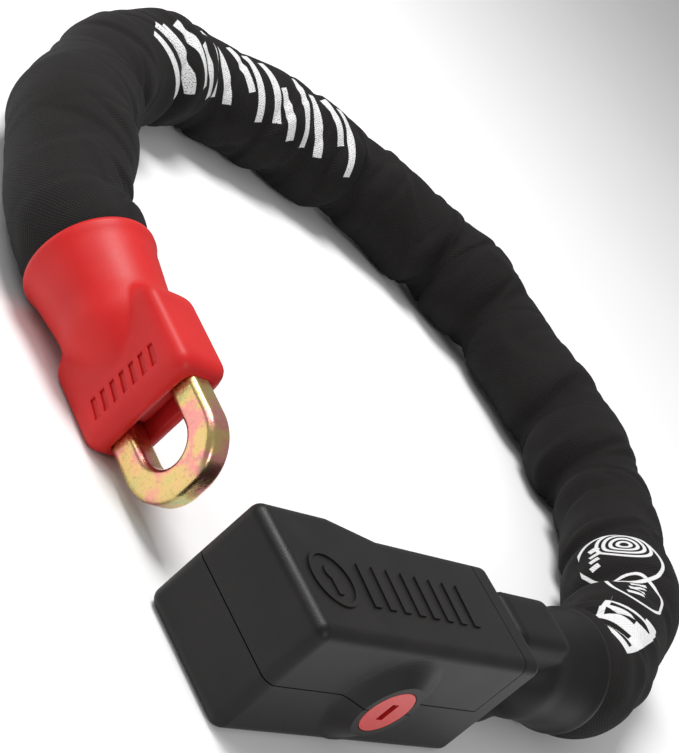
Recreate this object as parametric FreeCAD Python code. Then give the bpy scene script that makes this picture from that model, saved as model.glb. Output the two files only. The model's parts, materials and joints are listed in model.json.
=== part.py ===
import FreeCAD, Part
import math
import os

os.makedirs("parts", exist_ok=True)

# Chain lock: a box-shaped lock with a disc-detainer cylinder and a sliding bolt, an anchored chain in a
# textile sleeve, and a loose D-link that drops into a slot in the lock's side. All sizes are millimetres.
# Frame: the origin is the centre of the lock's flat underside, +X points to the anchored chain, +Z up.

# ---- driving dimensions -------------------------------------------------------------------------------
# lock case
CASE_LENGTH = 145.0
CASE_WIDTH = 57.0
CASE_HEIGHT = 56.5
PARTING_Z = 27.5           # height of the covers' joint, the keyhole and the chain's centre line
CASE_WALL = 3.2
CASE_EDGE_RADIUS = 4.8
CAVITY_EDGE_RADIUS = 2.0
BLOCK_EDGE_RADIUS = 1.5
SEAM_WIDTH = 0.5            # moulded groove along the joints between the covers
SEAM_DEPTH = 0.7
RECESS_DEPTH = 6.0          # the side that takes the loose link steps in by this much
RECESS_START_X = -32.0
RECESS_END_X = -5.0
COLLAR_LENGTH = 13.0        # the base wraps round the chain end of the block
FIT_GAP = 0.3               # block to case, links to their slots

# slot seal, case screws and emblem
SEAL_RIM = 1.8
SEAL_GAP = 0.1
SCREW_RADIUS = 2.0
SCREW_HEAD_RADIUS = 3.8
SCREW_HEAD_HEIGHT = 2.0
SCREW_HEAD_Z = 0.6
SCREW_HOLE_GAP = 0.15
SCREW_EDGE_X = 11.5         # screw axes to the case's two ends
SCREW_EDGE_Y = 11.5         # screw axes to the case's sides
EMBLEM_HEIGHT = 0.7
EMBLEM_ROOT = 0.5           # how deep the emblem is let into the cover it stands on
EMBLEM_X = -51.0
EMBLEM_Y = -3.5
EMBLEM_RING = (12.0, 10.4)
EMBLEM_KEYHOLE_RADIUS = 3.2
EMBLEM_STEM_WIDTH = 2.8
BAR_COUNT = 8
BAR_PITCH = 9.4
BAR_WIDTH = 4.2
BAR_SLANT = 2.2
BAR_HEIGHT = 19.0

# key boss and lock cylinder
KEY_X = -5.0
BOSS_RISE = 5.5
BOSS_BASE_RADIUS = 25.0
BOSS_TOP_RADIUS = 14.5
FACE_RADIUS = 11.25
FACE_THICKNESS = 3.4
FACE_GAP = 0.35
KEY_SLOT_WIDTH = 4.0
KEY_SLOT_HEIGHT = 9.0
HOUSING_RADIUS = 13.0
HOUSING_DEPTH = 21.4
HOUSING_END_WALL = 4.0      # housing left behind the sidebar's groove
ROTOR_RADIUS = 8.5
ROTOR_BORE_RADIUS = 6.5
RUNNING_GAP = 0.05          # radial clearance of every turning or sliding fit
ROTOR_END_GAP = 0.3
DISC_COUNT = 8
DISC_THICKNESS = 1.4
DISC_GAP = 0.02
DISC_SLOT = (3.0, 8.0)
GATE_WIDTH = 2.0
GATE_DEPTH = 1.4
SPACER_THICKNESS = 0.6
SPACER_BORE_RADIUS = 5.0
SIDEBAR_WIDTH = 1.8
SIDEBAR_GAP = 0.1
TAIL_RADIUS = 4.0
TAIL_SQUARE = 5.0
TAIL_PAST_PINION = 1.0
WEB_THICKNESS = 1.2         # steel left between the cylinder bore and the pinion pocket
CLIP_BORE_RADIUS = 2.15
CLIP_GROOVE_RADIUS = 2.1
CLIP_GROOVE_WIDTH = 0.8
CLIP_MOUTH = 3.2
GRUB_RADIUS = 2.5
GRUB_BACK = 9.0             # grub screw's axis to the back of the housing
GRUB_BITE = 1.5

# rack and pinion
GEAR_MODULE = 1.0
PINION_TEETH = 11
PINION_THICKNESS = 5.0
PRESSURE_ANGLE = 20.0
RACK_ADDENDUM = 0.6
BACKLASH = 0.2
RACK_HEIGHT = 5.4
RACK_REACH = 3.4            # rack teeth past the pinion's centre line when unlocked
RACK_PLATE_HALF = 5.0       # plate's edge past the bolt's axis
RACK_END_MARGIN = 1.0
RACK_SCREW_RADIUS = 1.5
RACK_SCREW_HEAD = (2.8, 1.6)
RACK_SCREW_BACK = (6.4, 16.4)
KEY_TURN = 180.0            # degrees from unlocked to locked

# bolt and detent
BOLT_RADIUS = 8.0
BOLT_LENGTH = 47.0
BOLT_CHAMFER = 1.0
BOLT_FLAT_DEPTH = 2.5
BOLT_TAIL_GAP = 0.55        # bolt to the end of the rotor's tail
BOLT_TIP_GAP = 0.6          # withdrawn bolt's tip to the link slot
BOLT_END_GAP = 1.0
DETENT_RADIUS = 2.0
DETENT_HOLE_GAP = 0.1
DETENT_BITE = 1.0
DETENT_BACK = 26.6          # detent's axis behind the withdrawn bolt's tip
PLUG_TOP_Z = 9.0
SPRING_WIRE_RADIUS = 0.35
SPRING_RADIUS = 1.4
SPRING_COILS = 5

# chain and end links
WIRE = 12.0
LINK_INNER_LENGTH = 63.8
LINK_INNER_WIDTH = 17.0
LINK_GAP = 0.3
END_LINK_LENGTH = 97.0
END_LINK_WIDTH = 45.0
END_LINK_CORNER = 20.0
END_LINK_EDGE = 3.0
END_LINK_REACH = 35.0       # how far an end link stands out of its boot
EYE_GAP = 1.0               # play between an end link's rear bar and the chain's first wire
SLOT_X = 24.6
SLOT_BOTTOM_Y = -14.5
PIN_RADIUS = 7.0

# boots and sleeve
BOOT_LENGTH = 78.0
BOOT_BOX_LENGTH = 40.0
BOOT_THICKNESS = 28.0
BOOT_HEIGHT = 55.0
BOOT_EDGE_RADIUS = 7.0
BOOT_NECK_WALL = 2.1
BOOT_RIM_FLARE = 2.6
BOOT_RIM_LENGTH = 8.0
TONGUE_LENGTH = 24.0
TONGUE_THICKNESS = 8.0
TONGUE_START = 5.0
BOOT_WALL = 3.0
CLAMP_WIDTH = 8.0
SLEEVE_RADIUS = 27.3
SLEEVE_WALL = 3.0
SLEEVE_NECK_WALL = 0.9
CLAMP_THICKNESS = 0.6
CLAMP_GAP = 0.2
BEND_CLEARANCE = 9.0        # half the gap between two sleeve sections at a bend

# the loop as it lies: the left turn, in degrees, at each of the joints between neighbouring links
REST_BENDS = [26, 17, 11, 24, 13, 24, 31, 21, 7, 20, 25, 13, 8, 27]

# ---- sizes that follow --------------------------------------------------------------------------------
MID_Z = PARTING_Z
END_X = CASE_LENGTH / 2
KEY_FACE_Y = -CASE_WIDTH / 2
LINK_FACE_Y = CASE_WIDTH / 2 - RECESS_DEPTH
BOSS_TOP_Y = KEY_FACE_Y - BOSS_RISE
BLOCK_INSET = CASE_WALL + FIT_GAP
SCREW_TOP_Z = MID_Z - PIN_RADIUS - 0.5
SCREW_PLACES = [(-END_X + SCREW_EDGE_X, KEY_FACE_Y + SCREW_EDGE_Y),
                (-END_X + SCREW_EDGE_X, CASE_WIDTH / 2 - SCREW_EDGE_Y),
                (END_X - SCREW_EDGE_X, KEY_FACE_Y + SCREW_EDGE_Y),
                (END_X - SCREW_EDGE_X, LINK_FACE_Y - SCREW_EDGE_Y + 2.0)]
SLEEVE_NECK_INNER = LINK_INNER_WIDTH / 2 + WIRE + LINK_GAP
SLEEVE_NECK_OUTER = SLEEVE_NECK_INNER + SLEEVE_NECK_WALL
BOOT_BORE_RADIUS = SLEEVE_NECK_OUTER + CLAMP_THICKNESS + CLAMP_GAP
BOOT_NECK_RADIUS = BOOT_BORE_RADIUS + BOOT_NECK_WALL
BOOT_RIM_RADIUS = BOOT_NECK_RADIUS + BOOT_RIM_FLARE
PITCH_RADIUS = GEAR_MODULE * PINION_TEETH / 2
CLIP_RADIUS = PITCH_RADIUS - RACK_ADDENDUM - 0.1
BOLT_TRAVEL = PITCH_RADIUS * math.radians(KEY_TURN)
SLOT_HALF_WIDTH = WIRE / 2 + FIT_GAP + 0.1
SLOT_HALF_HEIGHT = END_LINK_WIDTH / 2 + FIT_GAP + 0.1
BOOT_FACE_X = END_X + 0.2
ANCHOR_FRONT_X = BOOT_FACE_X - END_LINK_REACH
PIN_X = ANCHOR_FRONT_X + WIRE + PIN_RADIUS + FIT_GAP
HOUSING_FRONT_Y = BOSS_TOP_Y + FACE_THICKNESS + FACE_GAP
HOUSING_BACK_Y = HOUSING_FRONT_Y + HOUSING_DEPTH
PINION_FRONT_Y = HOUSING_BACK_Y + FIT_GAP + WEB_THICKNESS + FIT_GAP
PINION_BACK_Y = PINION_FRONT_Y + PINION_THICKNESS
CLIP_Y = (PINION_BACK_Y + 0.1, PINION_BACK_Y + 0.1 + CLIP_GROOVE_WIDTH)
GRUB_Y = HOUSING_BACK_Y - GRUB_BACK
BOLT_Y = PINION_BACK_Y + TAIL_PAST_PINION + BOLT_TAIL_GAP + BOLT_RADIUS
BOLT_TIP_X = SLOT_X - SLOT_HALF_WIDTH - BOLT_TIP_GAP
BOLT_BACK_X = BOLT_TIP_X - BOLT_LENGTH
DETENT_X = BOLT_TIP_X - DETENT_BACK
RACK_Y = (PINION_FRONT_Y, PINION_BACK_Y + 0.5)
RACK_PITCH_Z = MID_Z + PITCH_RADIUS
RACK_TOP_Z = RACK_PITCH_Z + RACK_HEIGHT
RACK_SCREW_X = tuple(BOLT_BACK_X + back for back in RACK_SCREW_BACK)
CUT_REACH = CASE_LENGTH     # cutters run this far past the faces they open

X_AXIS = FreeCAD.Vector(1, 0, 0)
Y_AXIS = FreeCAD.Vector(0, 1, 0)
Z_AXIS = FreeCAD.Vector(0, 0, 1)


# ---- shape helpers ------------------------------------------------------------------------------------
def vec(x, y, z):
    return FreeCAD.Vector(x, y, z)


def box(low, high):
    """Axis-aligned block between two corners."""
    size = [b - a for a, b in zip(low, high)]
    return Part.makeBox(size[0], size[1], size[2], vec(*low))


def rod(radius, start, end):
    """Round bar between two points."""
    along = vec(*end) - vec(*start)
    return Part.makeCylinder(radius, along.Length, vec(*start), along)


def tube(outer, inner, start, end):
    return rod(outer, start, end).cut(rod(inner, start, end))


def prism_y(points, y_low, y_high):
    """Polygon given as (x, z) pairs, extruded along Y."""
    wire = Part.makePolygon([vec(x, y_low, z) for x, z in points + points[:1]])
    return Part.Face(wire).extrude(vec(0, y_high - y_low, 0))


def turned(profile, origin, axis):
    """Revolve a closed (along, radius) profile about an axis through the origin."""
    side = Z_AXIS
    points = [origin + axis * a + side * r for a, r in profile]
    face = Part.Face(Part.makePolygon(points + points[:1]))
    return face.revolve(origin, axis, 360)


def fuse(shapes):
    return shapes[0].multiFuse(shapes[1:]).removeSplitter()


def cut(shape, *tools):
    return shape.cut(list(tools))


def settle(shape, x, y, heading):
    """Turn a piece built along +X to its heading on the ground and move it to its place."""
    shape = shape.copy()
    shape.rotate(vec(0, 0, 0), Z_AXIS, heading)
    shape.translate(vec(x, y, 0))
    return shape


def save(name, shape):
    solids = shape.Solids
    shape = solids[0] if len(solids) == 1 else Part.makeCompound(solids)
    shape.exportStep(os.path.join("parts", name + ".step"))
    print(name, len(solids), round(shape.Volume, 1), shape.isValid())


# ---- lock case ----------------------------------------------------------------------------------------
def case_body(inset, edge_radius):
    """The lock's outside shape, drawn in by an inset on every face."""
    low_x, high_x = -END_X + inset, END_X - inset
    low_y, high_y = KEY_FACE_Y + inset, CASE_WIDTH / 2 - inset
    plan = [(low_x, low_y), (high_x, low_y), (high_x, high_y - RECESS_DEPTH),
            (RECESS_END_X, high_y - RECESS_DEPTH), (RECESS_START_X, high_y), (low_x, high_y)]
    wire = Part.makePolygon([vec(x, y, inset) for x, y in plan + plan[:1]])
    body = Part.Face(wire).extrude(vec(0, 0, CASE_HEIGHT - 2 * inset))
    return body.makeFillet(edge_radius, body.Edges)


def key_boss(inset=0.0):
    """Raised, hollow-flanked mound round the keyhole, drawn in by an inset."""
    steps = 8
    profile = [(CASE_WALL + 1, 0), (CASE_WALL + 1, BOSS_BASE_RADIUS)]
    for i in range(steps + 1):
        share = i / steps
        rise = BOSS_RISE * (1 - math.cos(share * math.pi / 2)) ** 0.8
        profile.append((-rise, BOSS_BASE_RADIUS + (BOSS_TOP_RADIUS - BOSS_BASE_RADIUS) * share))
    profile.append((-BOSS_RISE, 0))
    return turned(profile, vec(KEY_X, KEY_FACE_Y + inset, MID_Z), Y_AXIS)


def case_shell():
    shell = fuse([case_body(0, CASE_EDGE_RADIUS), key_boss()])
    cavity = case_body(CASE_WALL, CAVITY_EDGE_RADIUS)
    key_well = rod(HOUSING_RADIUS + FIT_GAP, (KEY_X, HOUSING_FRONT_Y, MID_Z), (KEY_X, 0, MID_Z))
    face_hole = rod(FACE_RADIUS + FACE_GAP, (KEY_X, BOSS_TOP_Y - 1, MID_Z), (KEY_X, 0, MID_Z))
    slot = box((SLOT_X - SLOT_HALF_WIDTH - SEAL_RIM, 0, MID_Z - SLOT_HALF_HEIGHT - SEAL_RIM),
               (SLOT_X + SLOT_HALF_WIDTH + SEAL_RIM, CASE_WIDTH, MID_Z + SLOT_HALF_HEIGHT + SEAL_RIM))
    anchor = box((0, -SLOT_HALF_WIDTH, MID_Z - SLOT_HALF_HEIGHT),
                 (END_X + 1, SLOT_HALF_WIDTH, MID_Z + SLOT_HALF_HEIGHT))
    return cut(shell, cavity, key_well, face_hole, slot, anchor, *seam_grooves())


def seam_grooves():
    """Shallow moulded grooves where the covers meet: round the middle height, and round the base's collar."""
    far = CUT_REACH
    half = SEAM_WIDTH / 2
    core = fuse([case_body(SEAM_DEPTH, CASE_EDGE_RADIUS - SEAM_DEPTH), key_boss(SEAM_DEPTH)])
    collar_x = END_X - COLLAR_LENGTH
    level = box((-END_X - far, -CASE_WIDTH, MID_Z - half), (END_X - COLLAR_LENGTH, CASE_WIDTH, MID_Z + half))
    upright = box((collar_x - half, -CASE_WIDTH, MID_Z), (collar_x + half, CASE_WIDTH, CASE_HEIGHT + far))
    return [level.cut(core), upright.cut(core)]


def screw_shape(x, y, gap):
    head_top = SCREW_HEAD_Z + SCREW_HEAD_HEIGHT
    head = rod(SCREW_HEAD_RADIUS + gap, (x, y, SCREW_HEAD_Z - gap * 4), (x, y, head_top + gap))
    shank = rod(SCREW_RADIUS + gap, (x, y, head_top - 0.1), (x, y, SCREW_TOP_Z + gap))
    return head.fuse(shank)


def emblem():
    """Raised ornament on the top cover: a ring with a keyhole shape, and a row of slanted bars."""
    low, high = CASE_HEIGHT - EMBLEM_ROOT, CASE_HEIGHT + EMBLEM_HEIGHT
    ring = tube(*EMBLEM_RING, (EMBLEM_X, EMBLEM_Y, low), (EMBLEM_X, EMBLEM_Y, high))
    eye_y = EMBLEM_Y + EMBLEM_STEM_WIDTH
    stem_half = EMBLEM_STEM_WIDTH / 2
    keyhole = fuse([rod(EMBLEM_KEYHOLE_RADIUS, (EMBLEM_X, eye_y, low), (EMBLEM_X, eye_y, high)),
                    box((EMBLEM_X - stem_half, eye_y - 3 * EMBLEM_KEYHOLE_RADIUS, low),
                        (EMBLEM_X + stem_half, eye_y, high))])
    pieces = [ring, keyhole]
    for i in range(BAR_COUNT):
        x = EMBLEM_X + 1.5 * EMBLEM_RING[0] + i * BAR_PITCH
        foot_y, head_y = EMBLEM_Y - BAR_HEIGHT / 2, EMBLEM_Y + BAR_HEIGHT / 2
        outline = [(x, foot_y), (x + BAR_WIDTH, foot_y), (x + BAR_WIDTH + BAR_SLANT, head_y), (x + BAR_SLANT, head_y)]
        wire = Part.makePolygon([vec(px, py, low) for px, py in outline + outline[:1]])
        pieces.append(Part.Face(wire).extrude(vec(0, 0, high - low)))
    return pieces


def build_case():
    shell = case_shell()
    far = CUT_REACH
    upper_zone = box((-END_X - far, -CASE_WIDTH, MID_Z),
                     (END_X - COLLAR_LENGTH, CASE_WIDTH, CASE_HEIGHT + far))
    top = fuse([shell.common(upper_zone)] + emblem())
    screw_cuts = [screw_shape(x, y, SCREW_HOLE_GAP) for x, y in SCREW_PLACES]
    base = cut(shell, upper_zone, *screw_cuts)
    save("cover_top", top)
    save("cover_base", base)
    seal_y = (LINK_FACE_Y - CASE_WALL + 2 * SEAL_GAP, LINK_FACE_Y - 2 * SEAL_GAP)
    outer = (SLOT_HALF_WIDTH + SEAL_RIM - SEAL_GAP, SLOT_HALF_HEIGHT + SEAL_RIM - SEAL_GAP)
    seal = box((SLOT_X - outer[0], seal_y[0], MID_Z - outer[1]), (SLOT_X + outer[0], seal_y[1], MID_Z + outer[1]))
    hole = box((SLOT_X - SLOT_HALF_WIDTH, 0, MID_Z - SLOT_HALF_HEIGHT),
               (SLOT_X + SLOT_HALF_WIDTH, CASE_WIDTH, MID_Z + SLOT_HALF_HEIGHT))
    save("slot_seal", seal.cut(hole))
    save("case_screws", Part.makeCompound([screw_shape(x, y, 0) for x, y in SCREW_PLACES]))


# ---- hardened block -----------------------------------------------------------------------------------
def build_block():
    block = case_body(BLOCK_INSET, BLOCK_EDGE_RADIUS)
    back_x = BOLT_BACK_X - BOLT_END_GAP
    bore_end_x = BOLT_TIP_X + BOLT_TRAVEL + BOLT_END_GAP
    rack_end_x = KEY_X + RACK_REACH + BOLT_TRAVEL + BOLT_END_GAP
    far = CUT_REACH
    pocket_radius = PITCH_RADIUS + GEAR_MODULE + FIT_GAP
    cuts = [
        box((SLOT_X - SLOT_HALF_WIDTH, SLOT_BOTTOM_Y, MID_Z - SLOT_HALF_HEIGHT),
            (SLOT_X + SLOT_HALF_WIDTH, far, MID_Z + SLOT_HALF_HEIGHT)),
        box((ANCHOR_FRONT_X - FIT_GAP, -SLOT_HALF_WIDTH, MID_Z - SLOT_HALF_HEIGHT),
            (END_X + far, SLOT_HALF_WIDTH, MID_Z + SLOT_HALF_HEIGHT)),
        rod(PIN_RADIUS + RUNNING_GAP, (PIN_X, -far, MID_Z), (PIN_X, far, MID_Z)),
        rod(BOLT_RADIUS + RUNNING_GAP, (back_x, BOLT_Y, MID_Z), (bore_end_x, BOLT_Y, MID_Z)),
        rod(HOUSING_RADIUS + RUNNING_GAP, (KEY_X, -far, MID_Z), (KEY_X, HOUSING_BACK_Y + FIT_GAP, MID_Z)),
        rod(TAIL_RADIUS + RUNNING_GAP, (KEY_X, HOUSING_BACK_Y, MID_Z), (KEY_X, PINION_FRONT_Y, MID_Z)),
        rod(pocket_radius, (KEY_X, PINION_FRONT_Y - FIT_GAP, MID_Z), (KEY_X, BOLT_Y - BOLT_RADIUS / 2, MID_Z)),
        box((back_x, RACK_Y[0] - FIT_GAP, RACK_PITCH_Z - RACK_ADDENDUM - FIT_GAP),
            (rack_end_x, BOLT_Y + RACK_PLATE_HALF + FIT_GAP, RACK_TOP_Z + FIT_GAP)),
        rod(DETENT_RADIUS + DETENT_HOLE_GAP, (DETENT_X, BOLT_Y, PLUG_TOP_Z), (DETENT_X, BOLT_Y, MID_Z)),
        rod(GRUB_RADIUS, (DETENT_X, BOLT_Y, 0), (DETENT_X, BOLT_Y, PLUG_TOP_Z)),
        rod(GRUB_RADIUS, (KEY_X, GRUB_Y, 0), (KEY_X, GRUB_Y, MID_Z)),
    ]
    cuts += [rod(SCREW_RADIUS, (x, y, 0), (x, y, SCREW_TOP_Z + 1)) for x, y in SCREW_PLACES]
    save("lock_block", cut(block, *cuts))
    pin_low = KEY_FACE_Y + BLOCK_INSET
    pin_high = LINK_FACE_Y - BLOCK_INSET
    save("anchor_pin", rod(PIN_RADIUS, (PIN_X, pin_low, MID_Z), (PIN_X, pin_high, MID_Z)))


# ---- lock cylinder ------------------------------------------------------------------------------------
def key_slot(y_low, y_high, width, height):
    return box((KEY_X - width / 2, y_low, MID_Z - height / 2), (KEY_X + width / 2, y_high, MID_Z + height / 2))


def build_cylinder():
    centre = (KEY_X, MID_Z)

    def bar(radius, y_low, y_high):
        return rod(radius, (centre[0], y_low, centre[1]), (centre[0], y_high, centre[1]))

    grub_bottom_z = BLOCK_INSET
    grub_top_z = MID_Z - HOUSING_RADIUS + GRUB_BITE
    groove_half = SIDEBAR_WIDTH / 2 + 2 * SIDEBAR_GAP
    housing = cut(bar(HOUSING_RADIUS, HOUSING_FRONT_Y, HOUSING_BACK_Y),
                  bar(ROTOR_RADIUS + RUNNING_GAP, HOUSING_FRONT_Y - 1, HOUSING_BACK_Y + 1),
                  box((KEY_X - groove_half, HOUSING_FRONT_Y - 1, MID_Z + ROTOR_RADIUS - 1),
                      (KEY_X + groove_half, HOUSING_BACK_Y - HOUSING_END_WALL,
                       MID_Z + ROTOR_RADIUS + GATE_DEPTH / 2)),
                  rod(GRUB_RADIUS, (KEY_X, GRUB_Y, 0), (KEY_X, GRUB_Y, grub_top_z)))
    save("cylinder_housing", housing)
    grub = rod(GRUB_RADIUS, (KEY_X, GRUB_Y, grub_bottom_z), (KEY_X, GRUB_Y, grub_top_z))
    save("cylinder_grub_screw", grub)

    front_y = HOUSING_FRONT_Y + ROTOR_END_GAP
    stack_y = front_y + 2 * ROTOR_END_GAP
    stack = DISC_COUNT * DISC_THICKNESS + (DISC_COUNT - 1) * SPACER_THICKNESS
    barrel_back_y = HOUSING_BACK_Y - ROTOR_END_GAP
    bar_half = SIDEBAR_WIDTH / 2
    barrel = cut(bar(ROTOR_RADIUS, front_y, barrel_back_y),
                 bar(ROTOR_BORE_RADIUS, front_y - 1, stack_y + stack + ROTOR_END_GAP),
                 box((KEY_X - bar_half - SIDEBAR_GAP, front_y - 1, MID_Z + ROTOR_BORE_RADIUS - 1),
                     (KEY_X + bar_half + SIDEBAR_GAP, stack_y + stack, MID_Z + ROTOR_RADIUS + 1)))
    tail = bar(TAIL_RADIUS, barrel_back_y - 0.5, PINION_FRONT_Y - 0.1)
    half = TAIL_SQUARE / 2
    square = box((KEY_X - half, PINION_FRONT_Y - 0.5, MID_Z - half),
                 (KEY_X + half, PINION_BACK_Y + TAIL_PAST_PINION, MID_Z + half))
    groove = tube(TAIL_SQUARE, CLIP_GROOVE_RADIUS, (KEY_X, CLIP_Y[0], MID_Z), (KEY_X, CLIP_Y[1], MID_Z))
    save("rotor", cut(fuse([barrel, tail, square]), groove))

    discs = []
    spacers = []
    for i in range(DISC_COUNT):
        low = stack_y + i * (DISC_THICKNESS + SPACER_THICKNESS)
        disc = bar(ROTOR_BORE_RADIUS - RUNNING_GAP, low, low + DISC_THICKNESS - DISC_GAP)
        gate = box((KEY_X - GATE_WIDTH / 2, low - 1, MID_Z + ROTOR_BORE_RADIUS - GATE_DEPTH),
                   (KEY_X + GATE_WIDTH / 2, low + 2, MID_Z + ROTOR_RADIUS))
        discs.append(cut(disc, key_slot(low - 1, low + 2, *DISC_SLOT), gate))
        if i < DISC_COUNT - 1:
            start = low + DISC_THICKNESS
            ring = bar(ROTOR_BORE_RADIUS - RUNNING_GAP, start, start + SPACER_THICKNESS - DISC_GAP)
            spacers.append(ring.cut(bar(SPACER_BORE_RADIUS, start - 1, start + 1)))
    save("detainer_discs", Part.makeCompound(discs))
    save("disc_spacers", Part.makeCompound(spacers))
    sidebar = box((KEY_X - bar_half, stack_y + 2 * SIDEBAR_GAP, MID_Z + ROTOR_BORE_RADIUS + SIDEBAR_GAP),
                  (KEY_X + bar_half, stack_y + stack - 2 * SIDEBAR_GAP, MID_Z + ROTOR_RADIUS - SIDEBAR_GAP))
    save("sidebar", sidebar)

    face = fuse([bar(FACE_RADIUS, BOSS_TOP_Y, BOSS_TOP_Y + FACE_THICKNESS),
                 bar(ROTOR_BORE_RADIUS - RUNNING_GAP, BOSS_TOP_Y + FACE_THICKNESS - 0.5, stack_y - 0.1)])
    save("key_face", cut(face, key_slot(BOSS_TOP_Y - 1, stack_y + 1, KEY_SLOT_WIDTH, KEY_SLOT_HEIGHT)))

    ring = tube(CLIP_RADIUS, CLIP_BORE_RADIUS, (KEY_X, CLIP_Y[0] + 0.1, MID_Z), (KEY_X, CLIP_Y[1] - 0.1, MID_Z))
    mouth = box((KEY_X - CLIP_MOUTH / 2, CLIP_Y[0] - 1, MID_Z - 2 * CLIP_RADIUS),
                (KEY_X + CLIP_MOUTH / 2, CLIP_Y[1] + 1, MID_Z))
    save("pinion_clip", ring.cut(mouth))


# ---- rack, pinion, bolt -------------------------------------------------------------------------------
def involute_flank(base_radius, radius):
    """Angle swept by an involute from its base circle out to a radius."""
    ratio = math.sqrt(max((radius / base_radius) ** 2 - 1, 0))
    return ratio - math.atan(ratio)


def build_pinion():
    tip = PITCH_RADIUS + GEAR_MODULE
    root = PITCH_RADIUS - 1.2 * GEAR_MODULE
    base = PITCH_RADIUS * math.cos(math.radians(PRESSURE_ANGLE))
    half_tooth = (math.pi * GEAR_MODULE / 2 - BACKLASH) / 2 / PITCH_RADIUS
    flank_start = half_tooth + involute_flank(base, PITCH_RADIUS)
    radii = [base + (tip - base) * i / 5 for i in range(6)]
    flank = [(r, flank_start - involute_flank(base, r)) for r in radii]
    flank = [(root, flank_start)] + flank
    points = []
    for tooth in range(PINION_TEETH):
        middle = 2 * math.pi * tooth / PINION_TEETH
        side = [(r, middle - a) for r, a in flank] + [(r, middle + a) for r, a in reversed(flank)]
        points += [(KEY_X + r * math.sin(a), MID_Z + r * math.cos(a)) for r, a in side]
    gear = prism_y(points, PINION_FRONT_Y, PINION_BACK_Y)
    half = TAIL_SQUARE / 2
    hole = box((KEY_X - half, PINION_FRONT_Y - 1, MID_Z - half), (KEY_X + half, PINION_BACK_Y + 1, MID_Z + half))
    save("drive_pinion", gear.cut(hole))


def build_bolt():
    bolt = rod(BOLT_RADIUS, (BOLT_BACK_X, BOLT_Y, MID_Z), (BOLT_TIP_X, BOLT_Y, MID_Z))
    ends = [e for e in bolt.Edges if e.Curve.TypeId == "Part::GeomCircle"]
    bolt = bolt.makeChamfer(BOLT_CHAMFER, ends)
    flat_z = MID_Z + BOLT_RADIUS - BOLT_FLAT_DEPTH
    plate_x = (BOLT_BACK_X + RACK_END_MARGIN, RACK_SCREW_X[1] + 2 * RACK_SCREW_HEAD[0])
    flat = box((BOLT_BACK_X - 1, BOLT_Y - 2 * BOLT_RADIUS, flat_z),
               (plate_x[1] + FIT_GAP, BOLT_Y + 2 * BOLT_RADIUS, CASE_HEIGHT))
    groove_z = MID_Z - BOLT_RADIUS - DETENT_RADIUS + DETENT_BITE
    groove_radius = DETENT_RADIUS + RUNNING_GAP
    groove = rod(groove_radius, (DETENT_X - BOLT_TRAVEL, BOLT_Y, groove_z), (DETENT_X, BOLT_Y, groove_z))
    pockets = [Part.makeSphere(groove_radius, vec(x, BOLT_Y, groove_z)) for x in (DETENT_X - BOLT_TRAVEL, DETENT_X)]
    screw_holes = [rod(RACK_SCREW_RADIUS, (x, BOLT_Y, MID_Z - 1), (x, BOLT_Y, CASE_HEIGHT)) for x in RACK_SCREW_X]
    save("bolt", cut(bolt, flat, groove, *pockets, *screw_holes))
    build_rack(plate_x, flat_z)
    build_detent(groove_z)


def build_rack(plate_x, flat_z):
    """Plate screwed to the bolt's flat, with a toothed strip that reaches over the pinion."""
    head_radius, head_height = RACK_SCREW_HEAD
    strip_x = (plate_x[0], KEY_X + RACK_REACH)
    root_z = RACK_PITCH_Z + 1.2 * GEAR_MODULE
    plate = box((plate_x[0], RACK_Y[0], root_z), (plate_x[1], BOLT_Y + RACK_PLATE_HALF, RACK_TOP_Z))
    strip = box((strip_x[0], RACK_Y[0], root_z), (strip_x[1], RACK_Y[1], RACK_TOP_Z))
    pad_half = 0.6 * BOLT_RADIUS
    pad = box((plate_x[0], BOLT_Y - pad_half, flat_z), (plate_x[1], BOLT_Y + pad_half, root_z))
    pitch = math.pi * GEAR_MODULE
    slope = math.tan(math.radians(PRESSURE_ANGLE))
    half_at_pitch = (pitch / 2 - BACKLASH) / 2
    half_root = half_at_pitch + (root_z - RACK_PITCH_Z) * slope
    half_tip = half_at_pitch - RACK_ADDENDUM * slope
    tip_z = RACK_PITCH_Z - RACK_ADDENDUM
    teeth = []
    middle = KEY_X + pitch / 2
    while middle - half_root > strip_x[0]:
        if middle + half_root < strip_x[1]:
            outline = [(middle - half_root, root_z + 0.01), (middle - half_tip, tip_z),
                       (middle + half_tip, tip_z), (middle + half_root, root_z + 0.01)]
            teeth.append(prism_y(outline, RACK_Y[0], RACK_Y[1]))
        middle -= pitch
    screws = []
    seats = []
    seat_z = RACK_TOP_Z - head_height
    for x in RACK_SCREW_X:
        shank = rod(RACK_SCREW_RADIUS, (x, BOLT_Y, MID_Z), (x, BOLT_Y, seat_z))
        head = rod(head_radius, (x, BOLT_Y, seat_z), (x, BOLT_Y, RACK_TOP_Z))
        screws.append(shank.fuse(head))
        seats += [rod(RACK_SCREW_RADIUS, (x, BOLT_Y, MID_Z), (x, BOLT_Y, RACK_TOP_Z)), head]
    save("rack_plate", cut(fuse([plate, strip, pad] + teeth), *seats))
    save("rack_screws", Part.makeCompound(screws))


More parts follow.
